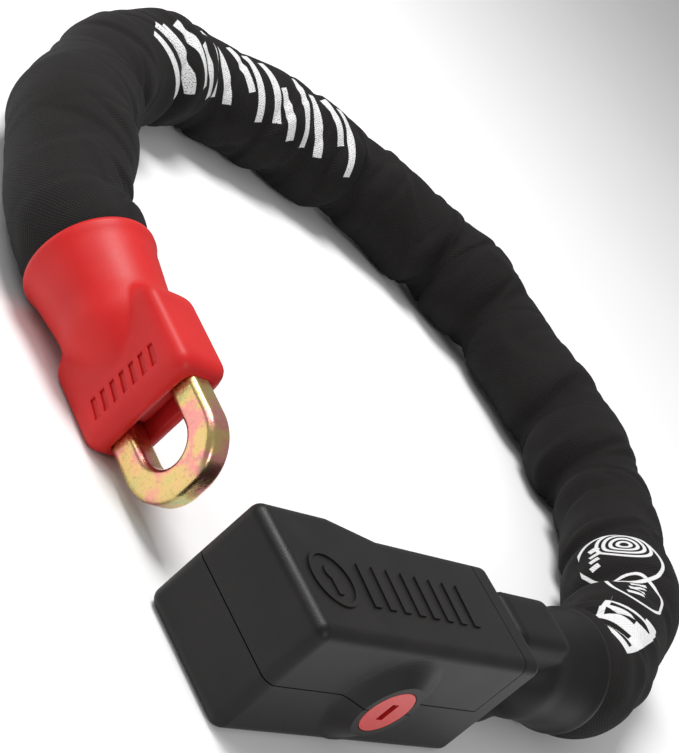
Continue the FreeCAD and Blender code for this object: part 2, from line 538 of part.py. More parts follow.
def build_detent(ball_z):
    """Ball under the bolt, pushed up by a spring on a screwed plug."""
    save("detent_ball", Part.makeSphere(DETENT_RADIUS, vec(DETENT_X, BOLT_Y, ball_z)))
    end_gap = SPRING_WIRE_RADIUS + 0.05
    low, high = PLUG_TOP_Z + end_gap, ball_z - DETENT_RADIUS - end_gap
    helix = Part.makeHelix((high - low) / SPRING_COILS, high - low, SPRING_RADIUS)
    section = Part.Wire(Part.makeCircle(SPRING_WIRE_RADIUS, vec(SPRING_RADIUS, 0, 0), Y_AXIS))
    coil = Part.Wire(helix).makePipeShell([section], True, True)
    coil.translate(vec(DETENT_X, BOLT_Y, low))
    save("detent_spring", coil)
    save("detent_plug", rod(GRUB_RADIUS, (DETENT_X, BOLT_Y, BLOCK_INSET), (DETENT_X, BOLT_Y, PLUG_TOP_Z)))


# ---- end links, boots, chain, sleeve ------------------------------------------------------------------
def rounded_slab(length, width, corner, thickness):
    """Upright slab along +X from x = 0, with rounded corners, centred on the X axis."""
    slab = box((0, -thickness / 2, -width / 2), (length, thickness / 2, width / 2))
    corners = [e for e in slab.Edges if abs(e.tangentAt(e.FirstParameter).y) > 0.9]
    return slab.makeFillet(corner, corners)


def end_link():
    """D-link along +X from its tip at x = 0: a flat-sided bar bent to a long ring, standing upright."""
    eye_width = END_LINK_WIDTH - 2 * WIRE
    ring = rounded_slab(END_LINK_LENGTH, END_LINK_WIDTH, END_LINK_CORNER, WIRE)
    eye = rounded_slab(END_LINK_LENGTH - 2 * WIRE, eye_width, eye_width / 2 - 0.05, WIRE + 2)
    eye.translate(vec(WIRE, 0, 0))
    ring = ring.cut(eye)
    rims = [e for e in ring.Edges if abs(e.tangentAt(e.FirstParameter).y) < 0.1]
    ring = ring.makeFillet(END_LINK_EDGE, rims)
    ring.translate(vec(0, 0, MID_Z))
    return ring


def boot():
    """Moulded end cap along +X: an upright box that grips the end link, and a flared neck for the sleeve."""
    half = BOOT_THICKNESS / 2
    body = box((0, -half, 0), (BOOT_BOX_LENGTH, half, BOOT_HEIGHT))
    body = body.makeFillet(BOOT_EDGE_RADIUS, body.Edges)
    neck_start = 0.75 * BOOT_BOX_LENGTH
    flare_start = BOOT_LENGTH - BOOT_RIM_LENGTH
    profile = [(neck_start, 0), (neck_start, BOOT_NECK_RADIUS - BOOT_WALL - 1),
               (neck_start + BOOT_WALL + 1, BOOT_NECK_RADIUS), (flare_start, BOOT_NECK_RADIUS),
               (BOOT_LENGTH - BOOT_RIM_LENGTH / 4, BOOT_RIM_RADIUS), (BOOT_LENGTH, BOOT_RIM_RADIUS - 0.6),
               (BOOT_LENGTH, 0)]
    neck = turned(profile, vec(0, 0, MID_Z), X_AXIS)
    link_end = END_LINK_LENGTH - END_LINK_REACH + FIT_GAP
    slab = box((-1, -WIRE / 2 - FIT_GAP, MID_Z - END_LINK_WIDTH / 2 - FIT_GAP),
               (link_end, WIRE / 2 + FIT_GAP, MID_Z + END_LINK_WIDTH / 2 + FIT_GAP))
    tongue_half = END_LINK_WIDTH / 2 - WIRE - FIT_GAP
    tongue_end = TONGUE_START + TONGUE_LENGTH
    tongue_side = TONGUE_THICKNESS / 2
    tongue = box((TONGUE_START, -tongue_side, MID_Z - tongue_half), (tongue_end, tongue_side, MID_Z + tongue_half))
    bridge = box((TONGUE_START, -half + BOOT_WALL, MID_Z - tongue_side),
                 (tongue_end, half - BOOT_WALL, MID_Z + tongue_side))
    slab = slab.cut(fuse([tongue, bridge]))
    bore_start = END_LINK_LENGTH - END_LINK_REACH - WIRE - EYE_GAP - WIRE - FIT_GAP
    bore = rod(BOOT_BORE_RADIUS, (bore_start, 0, MID_Z), (BOOT_LENGTH + 1, 0, MID_Z))
    return cut(body.fuse(neck), slab, bore)


def chain_link():
    """Round-wire link lying flat along X, centred at the origin."""
    bend = (LINK_INNER_WIDTH + WIRE) / 2
    straight = LINK_INNER_LENGTH - LINK_INNER_WIDTH
    half = straight / 2
    pieces = []
    for side in (1, -1):
        arc = Part.makeTorus(bend, WIRE / 2, vec(side * half, 0, 0), Z_AXIS, -180, 180, 180)
        if side > 0:
            arc.rotate(vec(half, 0, 0), Z_AXIS, -90)
        else:
            arc.rotate(vec(-half, 0, 0), Z_AXIS, 90)
        pieces.append(arc)
        pieces.append(rod(WIRE / 2, (-half, side * bend, 0), (half, side * bend, 0)))
    return fuse(pieces)


def chain_route():
    """Bend points of the chain's centre line and the heading of each link.

    A bend between a flat link and an upright one is at the upright link's end wire, so an upright link
    spans one wire more, and a flat link one wire less, than the inner length.
    """
    count = len(REST_BENDS) + 1
    flat_span = LINK_INNER_LENGTH - WIRE - 2 * LINK_GAP
    upright_span = LINK_INNER_LENGTH + WIRE
    end_span = LINK_INNER_LENGTH - WIRE - LINK_GAP - EYE_GAP
    x = BOOT_FACE_X + END_LINK_LENGTH - END_LINK_REACH - WIRE / 2
    y = 0.0
    heading = 0.0
    points = [(x, y)]
    headings = []
    for i in range(count):
        if i > 0:
            heading += REST_BENDS[i - 1]
        span = end_span if i in (0, count - 1) else (upright_span if i % 2 else flat_span)
        x += span * math.cos(math.radians(heading))
        y += span * math.sin(math.radians(heading))
        points.append((x, y))
        headings.append(heading)
    return points, headings


def sleeve_end(length):
    """Sleeve section that leaves a boot: a drawn-in neck under the boot's rim, then the full width."""
    neck = BOOT_LENGTH - (END_LINK_LENGTH - END_LINK_REACH) - 1.0
    inner = SLEEVE_RADIUS - SLEEVE_WALL
    profile = [(0, SLEEVE_NECK_INNER), (0, SLEEVE_NECK_OUTER), (neck + 1.5, SLEEVE_NECK_OUTER),
               (neck + 6, SLEEVE_RADIUS), (length, SLEEVE_RADIUS), (length, inner), (neck + 7, inner),
               (neck + 3, SLEEVE_NECK_INNER)]
    return turned(profile, vec(0, 0, MID_Z), X_AXIS)


def clamp_band():
    low, high = 0.25 * CLAMP_WIDTH, 1.25 * CLAMP_WIDTH
    return tube(SLEEVE_NECK_OUTER + CLAMP_THICKNESS, SLEEVE_NECK_OUTER, (low, 0, MID_Z), (high, 0, MID_Z))


def build_ends():
    save("anchor_link", settle(end_link(), ANCHOR_FRONT_X, 0, 0))
    save("lock_boot", settle(boot(), BOOT_FACE_X, 0, 0))
    points, headings = chain_route()
    (x, y), heading = points[-1], headings[-1]
    reach = END_LINK_LENGTH - WIRE / 2
    tip_x = x + reach * math.cos(math.radians(heading))
    tip_y = y + reach * math.sin(math.radians(heading))
    save("end_link", settle(end_link(), tip_x, tip_y, heading + 180))
    face = reach - END_LINK_REACH
    face_x = x + face * math.cos(math.radians(heading))
    face_y = y + face * math.sin(math.radians(heading))
    save("end_boot", settle(boot(), face_x, face_y, heading + 180))


def build_chain():
    points, headings = chain_route()
    count = len(headings)
    flat = chain_link()
    flat_offset = LINK_INNER_LENGTH / 2 - LINK_GAP - WIRE / 2
    sleeve_start = END_LINK_LENGTH - END_LINK_REACH + 1.0
    neck_offset = sleeve_start - (END_LINK_LENGTH - END_LINK_REACH - WIRE / 2)
    inner = SLEEVE_RADIUS - SLEEVE_WALL
    for i, heading in enumerate(headings):
        start, end = points[i], points[i + 1]
        ux, uy = math.cos(math.radians(heading)), math.sin(math.radians(heading))
        centre = ((start[0] + end[0]) / 2, (start[1] + end[1]) / 2)
        if i == 0:
            centre = (end[0] - flat_offset * ux, end[1] - flat_offset * uy)
        if i == count - 1:
            centre = (start[0] + flat_offset * ux, start[1] + flat_offset * uy)
        link = flat.copy()
        if i % 2:
            link.rotate(vec(0, 0, 0), X_AXIS, 90)
        link.translate(vec(0, 0, MID_Z))
        save("chain_link_%02d" % (i + 1), settle(link, centre[0], centre[1], heading))

        span = math.hypot(end[0] - start[0], end[1] - start[1])
        name = "sleeve_section_%02d" % (i + 1)
        if i in (0, count - 1):
            tail = sleeve_end(span - neck_offset - BEND_CLEARANCE)
            from_point, turn = (start, 0) if i == 0 else (end, 180)
            sign = 1 if i == 0 else -1
            x = from_point[0] + sign * neck_offset * ux
            y = from_point[1] + sign * neck_offset * uy
            save(name, settle(tail, x, y, heading + turn))
            save("lock_clamp_band" if i == 0 else "end_clamp_band", settle(clamp_band(), x, y, heading + turn))
        else:
            tail = tube(SLEEVE_RADIUS, inner, (BEND_CLEARANCE, 0, MID_Z), (span - BEND_CLEARANCE, 0, MID_Z))
            save(name, settle(tail, start[0], start[1], heading))


build_case()
build_block()
build_cylinder()
build_pinion()
build_bolt()
build_ends()
build_chain()
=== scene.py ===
import json
import math

import bmesh
import bpy
import numpy as np
from mathutils import Matrix, Vector
from mathutils.bvhtree import BVHTree


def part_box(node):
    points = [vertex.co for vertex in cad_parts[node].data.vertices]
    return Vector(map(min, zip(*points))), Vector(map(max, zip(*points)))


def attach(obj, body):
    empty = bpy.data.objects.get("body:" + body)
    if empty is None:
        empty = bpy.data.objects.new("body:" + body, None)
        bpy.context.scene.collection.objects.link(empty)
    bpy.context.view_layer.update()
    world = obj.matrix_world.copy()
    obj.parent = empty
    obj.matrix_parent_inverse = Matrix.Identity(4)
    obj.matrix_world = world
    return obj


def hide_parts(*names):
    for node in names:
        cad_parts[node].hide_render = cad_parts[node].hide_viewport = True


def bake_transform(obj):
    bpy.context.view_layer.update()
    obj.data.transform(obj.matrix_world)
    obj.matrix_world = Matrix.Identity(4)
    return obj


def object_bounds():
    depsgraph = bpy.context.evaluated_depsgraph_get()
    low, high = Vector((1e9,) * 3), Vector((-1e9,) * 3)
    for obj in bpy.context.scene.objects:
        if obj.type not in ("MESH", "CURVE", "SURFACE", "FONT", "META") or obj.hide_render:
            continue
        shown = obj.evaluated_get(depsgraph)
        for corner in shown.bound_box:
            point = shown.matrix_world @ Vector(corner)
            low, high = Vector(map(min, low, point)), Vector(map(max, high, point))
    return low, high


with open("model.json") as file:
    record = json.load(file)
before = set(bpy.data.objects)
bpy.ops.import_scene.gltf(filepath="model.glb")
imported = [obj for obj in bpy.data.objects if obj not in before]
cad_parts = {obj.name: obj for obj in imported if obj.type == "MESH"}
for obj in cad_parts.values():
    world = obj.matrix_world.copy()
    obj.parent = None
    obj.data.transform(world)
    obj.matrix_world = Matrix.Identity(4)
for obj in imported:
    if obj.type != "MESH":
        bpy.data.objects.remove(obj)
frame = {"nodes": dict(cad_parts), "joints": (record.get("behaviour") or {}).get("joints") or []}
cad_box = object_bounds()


# ---- Studio ----
# The lock lies on a pale table under soft white light. The camera looks along the case from its closed
# end, turned on its side so that the loop of chain runs up and across the frame.
def added(name, data):
    """New object in the scene, with this data."""
    made = bpy.data.objects.new(name, data)
    bpy.context.scene.collection.objects.link(made)
    return made


camera = added("camera", bpy.data.cameras.new("camera"))
bpy.context.scene.camera = camera
camera_back = Vector((-0.795, -0.5, 0.343)).normalized()
camera_right = Vector((0.572, -0.431, 0.698))
camera_right = (camera_right - camera_back * camera_right.dot(camera_back)).normalized()
camera_up = camera_back.cross(camera_right)
camera.matrix_world = Matrix.Translation((-0.5951, -0.2874, 0.3305)) @ Matrix(
    (camera_right, camera_up, camera_back)).transposed().to_4x4()
camera.data.sensor_width = 36
camera.data.sensor_fit = "AUTO"
camera.data.lens = 94.6
camera.data.clip_start = 0.01

middle = Vector([(low + high) / 2 for low, high in zip(*cad_box)])


def soft_light(name, direction, distance, size, watts):
    lamp = bpy.data.lights.new(name, "AREA")
    lamp.shape = "DISK"
    lamp.size = size
    lamp.energy = watts
    body = added(name, lamp)
    body.location = middle + Vector(direction).normalized() * distance
    body.rotation_euler = (middle - body.location).to_track_quat("-Z", "Y").to_euler()


soft_light("key_light", (-0.25, 0.45, 1.0), distance=1.5, size=0.7, watts=23)
soft_light("side_light", (-0.2, -1.0, 0.55), distance=1.6, size=0.6, watts=6)
soft_light("front_light", (-1.0, 0.5, 0.9), distance=1.5, size=0.6, watts=3)

world = bpy.data.worlds.new("studio")
world.use_nodes = True
world.node_tree.nodes["Background"].inputs["Color"].default_value = (1, 1, 1, 1)
world.node_tree.nodes["Background"].inputs["Strength"].default_value = 0.38
bpy.context.scene.world = world
bpy.context.scene.view_settings.view_transform = "Standard"


# ---- Lock case ----
# Two moulded covers of hard black rubber close round a hardened block and are screwed together from
# below. The surface has a fine spark-eroded grain, a little dust and a slight polish where hands wear it.
class Value:
    """One output of a material's node, or a number. Arithmetic on it adds Math nodes."""

    def __init__(self, finish, socket):
        self.finish = finish
        self.socket = socket

    def maths(self, operation, *others):
        return self.finish.node("ShaderNodeMath", {"operation": operation}, {
            place: other for place, other in enumerate((self,) + others)})

    def __add__(self, other):
        return self.maths("ADD", other)

    def __sub__(self, other):
        return self.maths("SUBTRACT", other)

    def __mul__(self, other):
        return self.maths("MULTIPLY", other)

    def __rsub__(self, other):
        return (self * -1) + other

    def wave(self, period):
        """Sine of the value over a period, from -1 to 1."""
        return (self * (2 * math.pi / period)).maths("SINE")

    def below(self, edge, soft=0.0002):
        """1 where the value is under an edge, falling to 0 over a soft step."""
        return self.finish.node("ShaderNodeMapRange", {"interpolation_type": "SMOOTHSTEP"}, {
            "Value": self, "From Min": edge - soft, "From Max": edge + soft, "To Min": 1.0, "To Max": 0.0})

    def above(self, edge, soft=0.0002):
        return 1 - self.below(edge, soft)

    def least(self, other):
        return self.maths("MINIMUM", other)

    def most(self, other):
        return self.maths("MAXIMUM", other)

    def size(self):
        return self.maths("ABSOLUTE")


class Finish:
    """A material with one Principled shader, whose fixed sockets are set when it is made."""

    def __init__(self, name, sockets):
        self.material = bpy.data.materials.new(name)
        self.material.use_nodes = True
        self.tree = self.material.node_tree
        self.shader = self.tree.nodes["Principled BSDF"]
        self.surface(sockets)

    def node(self, kind, settings, sockets, output=0):
        made = self.tree.nodes.new(kind)
        for name, setting in settings.items():
            if name == "ramp":
                stops = made.color_ramp.elements
                while len(stops) < len(setting):
                    stops.new(0.5)
                for stop, (place, colour) in zip(stops, setting):
                    stop.position = place
                    stop.color = (*colour, 1)
            else:
                setattr(made, name, setting)
        for name, value in sockets.items():
            self.feed(made.inputs[name], value)
        return Value(self, made.outputs[output])

    def feed(self, socket, value):
        if isinstance(value, Value):
            self.tree.links.new(value.socket, socket)
        elif isinstance(value, tuple) and len(value) == 3 and socket.type == "RGBA":
            socket.default_value = (*value, 1)
        else:
            socket.default_value = value

    def surface(self, sockets):
        for name, value in sockets.items():
            self.feed(self.shader.inputs[name], value)

    def place(self):
        """Where the point is on the piece, in metres."""
        return self.node("ShaderNodeTexCoord", {}, {}, "Object")

    def noise(self, where, per_metre, detail=3.0, roughness=0.5):
        return self.node("ShaderNodeTexNoise", {}, {
            "Vector": where, "Scale": per_metre, "Detail": detail, "Roughness": roughness}, "Fac")

    def blend(self, share, one, other):
        """Colour that goes from one to the other as the share goes from 0 to 1."""
        factor, first_colour, second_colour, result = 0, 6, 7, 2
        made = self.tree.nodes.new("ShaderNodeMix")
        made.data_type = "RGBA"
        self.feed(made.inputs[factor], share)
        self.feed(made.inputs[first_colour], one)
        self.feed(made.inputs[second_colour], other)
        return Value(self, made.outputs[result])

    def relief(self, height, depth):
        """Normal of a surface whose height, from 0 to 1, stands for a depth in metres."""
        bump = self.node("ShaderNodeBump", {}, {"Strength": 1.0, "Distance": depth, "Height": height})
        self.surface({"Normal": bump})


def moulded(name, dark, pale, roughness, gloss, grain_depth):
    """Moulded rubber: grain, soft mottling and slightly polished patches."""
    finish = Finish(name, {"Specular IOR Level": gloss})
    where = finish.place()
    cloud = finish.noise(where, 38, 4)
    fine = finish.noise(where, 1500, 2)
    dust = finish.noise(where, 420, 5, 0.7).above(0.63, 0.05)
    finish.surface({"Base Color": finish.blend(cloud.above(0.5, 0.22) * 0.7 + dust * 0.22, dark, pale),
                    "Roughness": cloud * 0.14 + fine * 0.10 + (roughness - 0.12)})
    finish.relief(fine, grain_depth)
    return finish


case_rubber = moulded("case_rubber", (0.0070, 0.0062, 0.0060), (0.0140, 0.0125, 0.0122),
                      roughness=0.45, gloss=0.24, grain_depth=0.00007)


def dress(node, finish):
    """Give a node of the frame its finish."""
    part = frame["nodes"][node]
    part.data.materials.clear()
    part.data.materials.append(finish.material)
    return part


for node in ("cover_top", "cover_base", "slot_seal"):
    dress(node, case_rubber)


# ---- Keyhole ----
# The rotor's face is a red plastic disc with the key slot cut through it. Keys scratch it in arcs.
face_plastic = Finish("face_plastic", {"Coat Weight": 0.25, "Coat Roughness": 0.2})
where = face_plastic.place()
scuff = face_plastic.noise(where, 900, 4, 0.7).above(0.58, 0.08)
face_plastic.surface({
    "Base Color": face_plastic.blend(scuff * 0.35, (0.56, 0.014, 0.012), (0.70, 0.08, 0.05)),
    "Roughness": scuff * 0.2 + 0.36})
face_plastic.relief(face_plastic.noise(where, 1800, 2), 0.00004)
dress("key_face", face_plastic)


# ---- Lock works ----
# Hardened block, pins and bolt are turned and ground steel; the cylinder, rotor and discs are brass;
# screws and bands are plated; springs and clips are drawn wire.
def machined(name, dark, pale, roughness, line_scale):
    """Metal with fine parallel tool marks and faint stains."""
    finish = Finish(name, {"Metallic": 1.0})
    where = finish.place()
    stretched = finish.node("ShaderNodeMapping", {}, {"Vector": where, "Scale": (1.0, 18.0, 1.0)})
    lines = finish.noise(stretched, line_scale, 3, 0.6)
    stain = finish.noise(where, 90, 4)
    finish.surface({"Base Color": finish.blend(stain, dark, pale),
                    "Roughness": lines * 0.2 + (roughness - 0.1)})
    finish.relief(lines, 0.00003)
    return finish


steel = machined("hardened_steel", (0.30, 0.30, 0.31), (0.45, 0.45, 0.46), roughness=0.38, line_scale=300)
plate = machined("plated_steel", (0.50, 0.50, 0.52), (0.66, 0.66, 0.67), roughness=0.32, line_scale=500)
brass = machined("cylinder_brass", (0.62, 0.46, 0.20), (0.80, 0.62, 0.32), roughness=0.33, line_scale=500)
wire_steel = machined("spring_steel", (0.26, 0.26, 0.27), (0.38, 0.38, 0.39), roughness=0.30, line_scale=700)
works = {
    "lock_block": steel, "anchor_pin": steel, "bolt": steel, "rack_plate": steel, "detent_ball": steel,
    "detent_plug": steel, "drive_pinion": steel, "case_screws": plate, "rack_screws": plate,
    "cylinder_grub_screw": plate, "lock_clamp_band": plate, "end_clamp_band": plate,
    "cylinder_housing": brass, "rotor": brass, "detainer_discs": brass, "disc_spacers": brass,
    "sidebar": brass, "pinion_clip": wire_steel, "detent_spring": wire_steel}
for node, finish in works.items():
    dress(node, finish)


# ---- Chain and end links ----
# Hardened steel links and D-links, zinc plated and passivated yellow: the film is gold, with patches
# that shift to pink, green and pale blue, and it dulls along the edges where links rub.
zinc = Finish("yellow_zinc", {"Metallic": 1.0})
where = zinc.place()
drift = zinc.noise(where, 34, 3, 0.55)
patches = zinc.noise(where, 120, 4, 0.6)
film = zinc.node("ShaderNodeValToRGB", {"ramp": [
    (0.34, (0.42, 0.56, 0.28)), (0.42, (0.66, 0.52, 0.20)), (0.48, (0.74, 0.50, 0.22)),
    (0.54, (0.80, 0.30, 0.30)), (0.60, (0.74, 0.50, 0.26)), (0.68, (0.44, 0.58, 0.40))]}, {
        "Fac": drift * 0.7 + patches * 0.3})
speck = zinc.noise(where, 700, 4, 0.65).above(0.60, 0.06)
zinc.surface({"Base Color": zinc.blend(speck * 0.45, film, (0.42, 0.34, 0.18)),
              "Roughness": patches * 0.16 + speck * 0.15 + 0.20})
zinc.relief(zinc.noise(where, 420, 4, 0.6), 0.00012)
links = [name for name in frame["nodes"] if name.startswith("chain_link")]
for node in links + ["anchor_link", "end_link"]:
    dress(node, zinc)


# ---- Chain's line ----
# Each link turns a little on the next, so the chain's centre line bends at the joints. The sleeve
# follows that line in smooth arcs from the lock's boot to the loose end's boot.
def centre(node):
    low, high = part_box(node)
    return (low + high) / 2


def flat(point):
    return Vector((point.x, point.y, 0))


link_middles = [flat(centre(f"chain_link_{i + 1:02d}")) for i in range(len(links))]
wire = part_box("chain_link_01")[1].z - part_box("chain_link_01")[0].z
link_play = 0.0003
chain_z = centre("chain_link_01").z
joints = [joint for joint in frame["joints"] if joint["name"].startswith("chain_")]
bends = []
for i, joint in enumerate(joints):
    pivot = flat(Vector(joint["pos_m"]))
    if i % 2:
        pivot = pivot + (link_middles[i + 1] - pivot).normalized() * (wire + link_play)
    bends.append(pivot)
lock_boot_low, lock_boot_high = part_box("lock_boot")
boot_length = lock_boot_high.x - lock_boot_low.x
loose_heading = (link_middles[-1] - bends[-1]).normalized()
link_low, link_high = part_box("anchor_link")
loose_tip = flat(centre("end_link")) + loose_heading * (link_high.x - link_low.x) / 2
link_reach = lock_boot_low.x - link_low.x
loose_face = loose_tip - loose_heading * link_reach
neck_overlap = 0.012
route = ([Vector((lock_boot_high.x - neck_overlap, 0, 0))] + bends
         + [loose_face - loose_heading * (boot_length - neck_overlap)])


def sample_route(step):
    """Points along smooth arcs that touch the middle of each straight between bends."""
    middles = [(a + b) / 2 for a, b in zip(route, route[1:])]
    points = [route[0]]
    arc_steps = 40
    for i, bend in enumerate(route[1:-1]):
        for j in range(arc_steps):
            t = j / arc_steps
            points.append(middles[i] * (1 - t) ** 2 + bend * 2 * t * (1 - t) + middles[i + 1] * t ** 2)
    points += [middles[-1], route[-1]]
    line = np.array([point[:2] for point in points])
    along = np.concatenate([[0], np.cumsum(np.linalg.norm(np.diff(line, axis=0), axis=1))])
    count = round(along[-1] / step)
    stations = np.linspace(0, along[-1], count + 1)
    return stations, np.stack([np.interp(stations, along, line[:, axis]) for axis in (0, 1)], axis=1)


# ---- Sleeve ----
# A tube of woven black polyester, sewn to a flat width of half its girth and slid over the chain. It is
# wider than the links, so it bags between them and creases on the inside of each bend.
sleeve_radius = (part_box("sleeve_section_06")[1].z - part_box("sleeve_section_06")[0].z) / 2
girth = 2 * math.pi * sleeve_radius
station_step = 0.0015
stations, line = sample_route(station_step)
sleeve_length = stations[-1]
tangent = np.gradient(line, axis=0)
tangent /= np.linalg.norm(tangent, axis=1)[:, None]
around_count = 112
angle = np.arange(around_count) * 2 * math.pi / around_count
bend_stations = [stations[np.argmin(np.linalg.norm(line - np.array(bend[:2]), axis=1))] for bend in bends]
headings = [math.atan2(*(b - a).to_2d().yx) for a, b in zip(route, route[1:])]
turns = [(after - before + math.pi) % (2 * math.pi) - math.pi
         for before, after in zip(headings, headings[1:])]

s = stations[:, None]
a = angle[None, :]
inner = (0.5 + 0.5 * np.cos(a)) ** 2
sharp_turn = 0.45


def hump(distance, width):
    """1 at no distance, falling to 0 on both sides over about the width."""
    return np.exp(-(distance / width) ** 2)


def around_from(side):
    """Distance round the sleeve from an angle, the shorter way, in metres."""
    return ((a - side + math.pi) % (2 * math.pi) - math.pi) * sleeve_radius


def ease(value):
    """Smooth step from 0 to 1."""
    value = np.clip(value, 0, 1)
    return value * value * (3 - 2 * value)


# Each bend dents its inside, raises a shoulder before and after the dent, and draws in a slight waist.
puff = np.zeros((len(stations), around_count))
for place, turn in zip(bend_stations, turns):
    dent = 0.0085 * min(turn / sharp_turn, 1.15)
    shoulder = 0.0016 * min(turn / sharp_turn, 1.1)
    puff -= dent * hump(s - place, 0.0075) * inner
    puff += shoulder * (hump(s - place + 0.017, 0.010) + hump(s - place - 0.018, 0.010)) * inner
    puff -= 0.0009 * hump(s - place, 0.016)

# Slow waves along the whole length, where the cloth bags out.
puff += 0.0016 * np.cos(2 * math.pi * (s - 0.020) / 0.129) + 0.0009 * np.cos(2 * math.pi * s / 0.083 + a)

# Soft wrinkles, each a groove with a low ridge beside it.
dice = np.random.default_rng(27)
wrinkle_count, fold_count = 95, 80
for _ in range(wrinkle_count):
    place = dice.uniform(0.02, sleeve_length - 0.02)
    side = dice.uniform(0, 2 * math.pi)
    tilt = dice.normal(0, 0.5) + math.pi / 2 * (dice.random() < 0.4)
    length = dice.uniform(0.014, 0.040)
    width = dice.uniform(0.0030, 0.0075)
    depth = dice.uniform(0.0003, 0.0013)
    across_s = s - place
    across_a = around_from(side)
    lengthwise = across_a * math.cos(tilt) + across_s * math.sin(tilt)
    crosswise = across_s * math.cos(tilt) - across_a * math.sin(tilt)
    crosswise = crosswise + 0.25 * lengthwise ** 2 / length
    ridge = 0.7 * hump(crosswise - 1.5 * width, width)
    puff += depth * hump(lengthwise, length) * (ridge - hump(crosswise, width))

# Crisp folds round the sleeve, steeper on one side.
for _ in range(fold_count):
    place = dice.uniform(0.04, sleeve_length - 0.04)
    side = dice.uniform(-0.2, 1.2) * math.pi
    length = dice.uniform(0.010, 0.024)
    width = dice.uniform(0.0016, 0.0024)
    lean = dice.normal(0, 0.35)
    lengthwise = around_from(side)
    crosswise = s - place - lean * lengthwise + 0.12 * lengthwise ** 2 / length
    step = np.exp(-np.clip(crosswise, 0, None) / (2.6 * width)) * (crosswise > 0)
    step += hump(np.clip(crosswise, None, 0), width) * (crosswise <= 0)
    puff -= dice.uniform(0.0012, 0.0028) * step * hump(lengthwise, length)

# Sharp folds that fan out from the inside of each bend.
fan_depth = 0.0042
for place, turn in zip(bend_stations, turns):
    for fan in (-0.7, 0.1, 0.8):
        lean = fan + dice.normal(0, 0.12)
        crosswise = (s - place) - lean * 0.6 * sleeve_radius * (1 - np.cos(a)) - fan * 0.004
        reach = hump(1 - np.cos(a), dice.uniform(0.7, 1.3))
        width = dice.uniform(0.0016, 0.0026)
        puff -= fan_depth * min(turn / sharp_turn, 1.2) * reach * hump(crosswise, width)
deepest = 0.0060
puff = np.where(puff < 0, -deepest * np.tanh(-puff / deepest), puff)

# Both ends are drawn in to fit inside the boots' necks.
rim_radius = 0.0238
tuck_length = 0.034
for end in (0, sleeve_length):
    tuck = ease(1 - np.abs(s - end) / tuck_length)
    puff = puff * (1 - tuck) - (sleeve_radius - rim_radius) * tuck

radius = sleeve_radius + puff
left = np.stack([-tangent[:, 1], tangent[:, 0]], axis=1)

# The cloth lies outside the links it covers, and is drawn smooth over them.
link_points, link_faces = [], []
for node in links:
    part = frame["nodes"][node]
    base = len(link_points)
    link_points += [part.matrix_world @ vertex.co for vertex in part.data.vertices]
    link_faces += [[base + i for i in face.vertices] for face in part.data.polygons]
chain_tree = BVHTree.FromPolygons(link_points, link_faces)
probe = 0.040
link_clearance = 0.0017
for row in range(len(stations)):
    middle_point = Vector((*line[row], chain_z))
    sideways = Vector((*left[row], 0))
    for column in range(around_count):
        ray = sideways * math.cos(angle[column]) + Vector((0, 0, math.sin(angle[column])))
        hit = chain_tree.ray_cast(middle_point + ray * probe, -ray, probe)[0]
        if hit is not None:
            radius[row, column] = max(radius[row, column], (hit - middle_point).length + link_clearance)
ridge_limit = 0.0003
for _ in range(2):
    smooth = 0.5 * radius + 0.125 * (np.roll(radius, 1, axis=1) + np.roll(radius, -1, axis=1))
    smooth[1:-1] += 0.125 * (radius[2:] + radius[:-2])
    smooth[[0, -1]] += 0.25 * radius[[0, -1]]
    radius = np.maximum(smooth, np.minimum(radius, smooth + ridge_limit))

# It lies on the table, so its underside is flattened there.
sleeve_side = radius * np.cos(a)
floor_gap = 0.0004
settling = 0.004
sleeve_up = chain_z + radius * np.sin(a) - floor_gap
sleeve_up = floor_gap + np.where(
    sleeve_up < settling, settling * np.exp((sleeve_up - settling) / settling), sleeve_up)
sleeve_points = np.zeros((len(stations), around_count, 3))
sleeve_points[:, :, 0] = line[:, :1] + left[:, :1] * sleeve_side
sleeve_points[:, :, 1] = line[:, 1:] + left[:, 1:] * sleeve_side
sleeve_points[:, :, 2] = sleeve_up


def grid_normals(points):
    """Outward normals of a grid that closes on itself across its second axis."""
    along = np.gradient(points, axis=0)
    around = np.roll(points, -1, axis=1) - np.roll(points, 1, axis=1)
    normals = np.cross(around, along)
    return normals / np.linalg.norm(normals, axis=2)[:, :, None]


sleeve_normals = grid_normals(sleeve_points)


# Woven cloth: an over-and-under pattern that repeats every 1.6 mm, with a painted highlight that makes the
# risen threads paler, and lint and dust. Prints and a sewn label share it, all laid out in metres along and
# around the tube.
weave = Finish("sleeve_weave", {"Sheen Weight": 0.02, "Sheen Roughness": 0.45, "Specular IOR Level": 0.13})
lay = weave.node("ShaderNodeUVMap", {"uv_map": "cloth"}, {})
along = weave.node("ShaderNodeSeparateXYZ", {}, {"Vector": lay})
around = Value(weave, along.socket.node.outputs["Y"])
thread_repeat = 0.0016
wobble = weave.noise(lay, 160, 2) * 0.0008
cross = (along + wobble).wave(thread_repeat) * (around + wobble * 0.6).wave(thread_repeat)
threads = cross * 0.5 + 0.5
fuzz = weave.noise(lay, 900, 4, 0.7)
worn = weave.noise(lay, 26, 4, 0.6)
# Colour of the cloth: a painted highlight on the risen threads, mixed with real lint and wear.
cloth_colour_with_crest_highlight = weave.blend(threads * 0.5 + fuzz * 0.25 + worn * 0.25, (0.0026, 0.0023, 0.0022),
                           (0.0200, 0.0180, 0.0176))


def stroke(start, end, width):
    """Mask of a straight printed bar between two (along, around) places."""
    run, rise = end[0] - start[0], end[1] - start[1]
    length = math.hypot(run, rise)
    run, rise = run / length, rise / length
    lengthwise = (along - start[0]) * run + (around - start[1]) * rise
    crosswise = (around - start[1]) * run - (along - start[0]) * rise
    return (lengthwise - length / 2).size().below(length / 2).least(crosswise.size().below(width / 2))


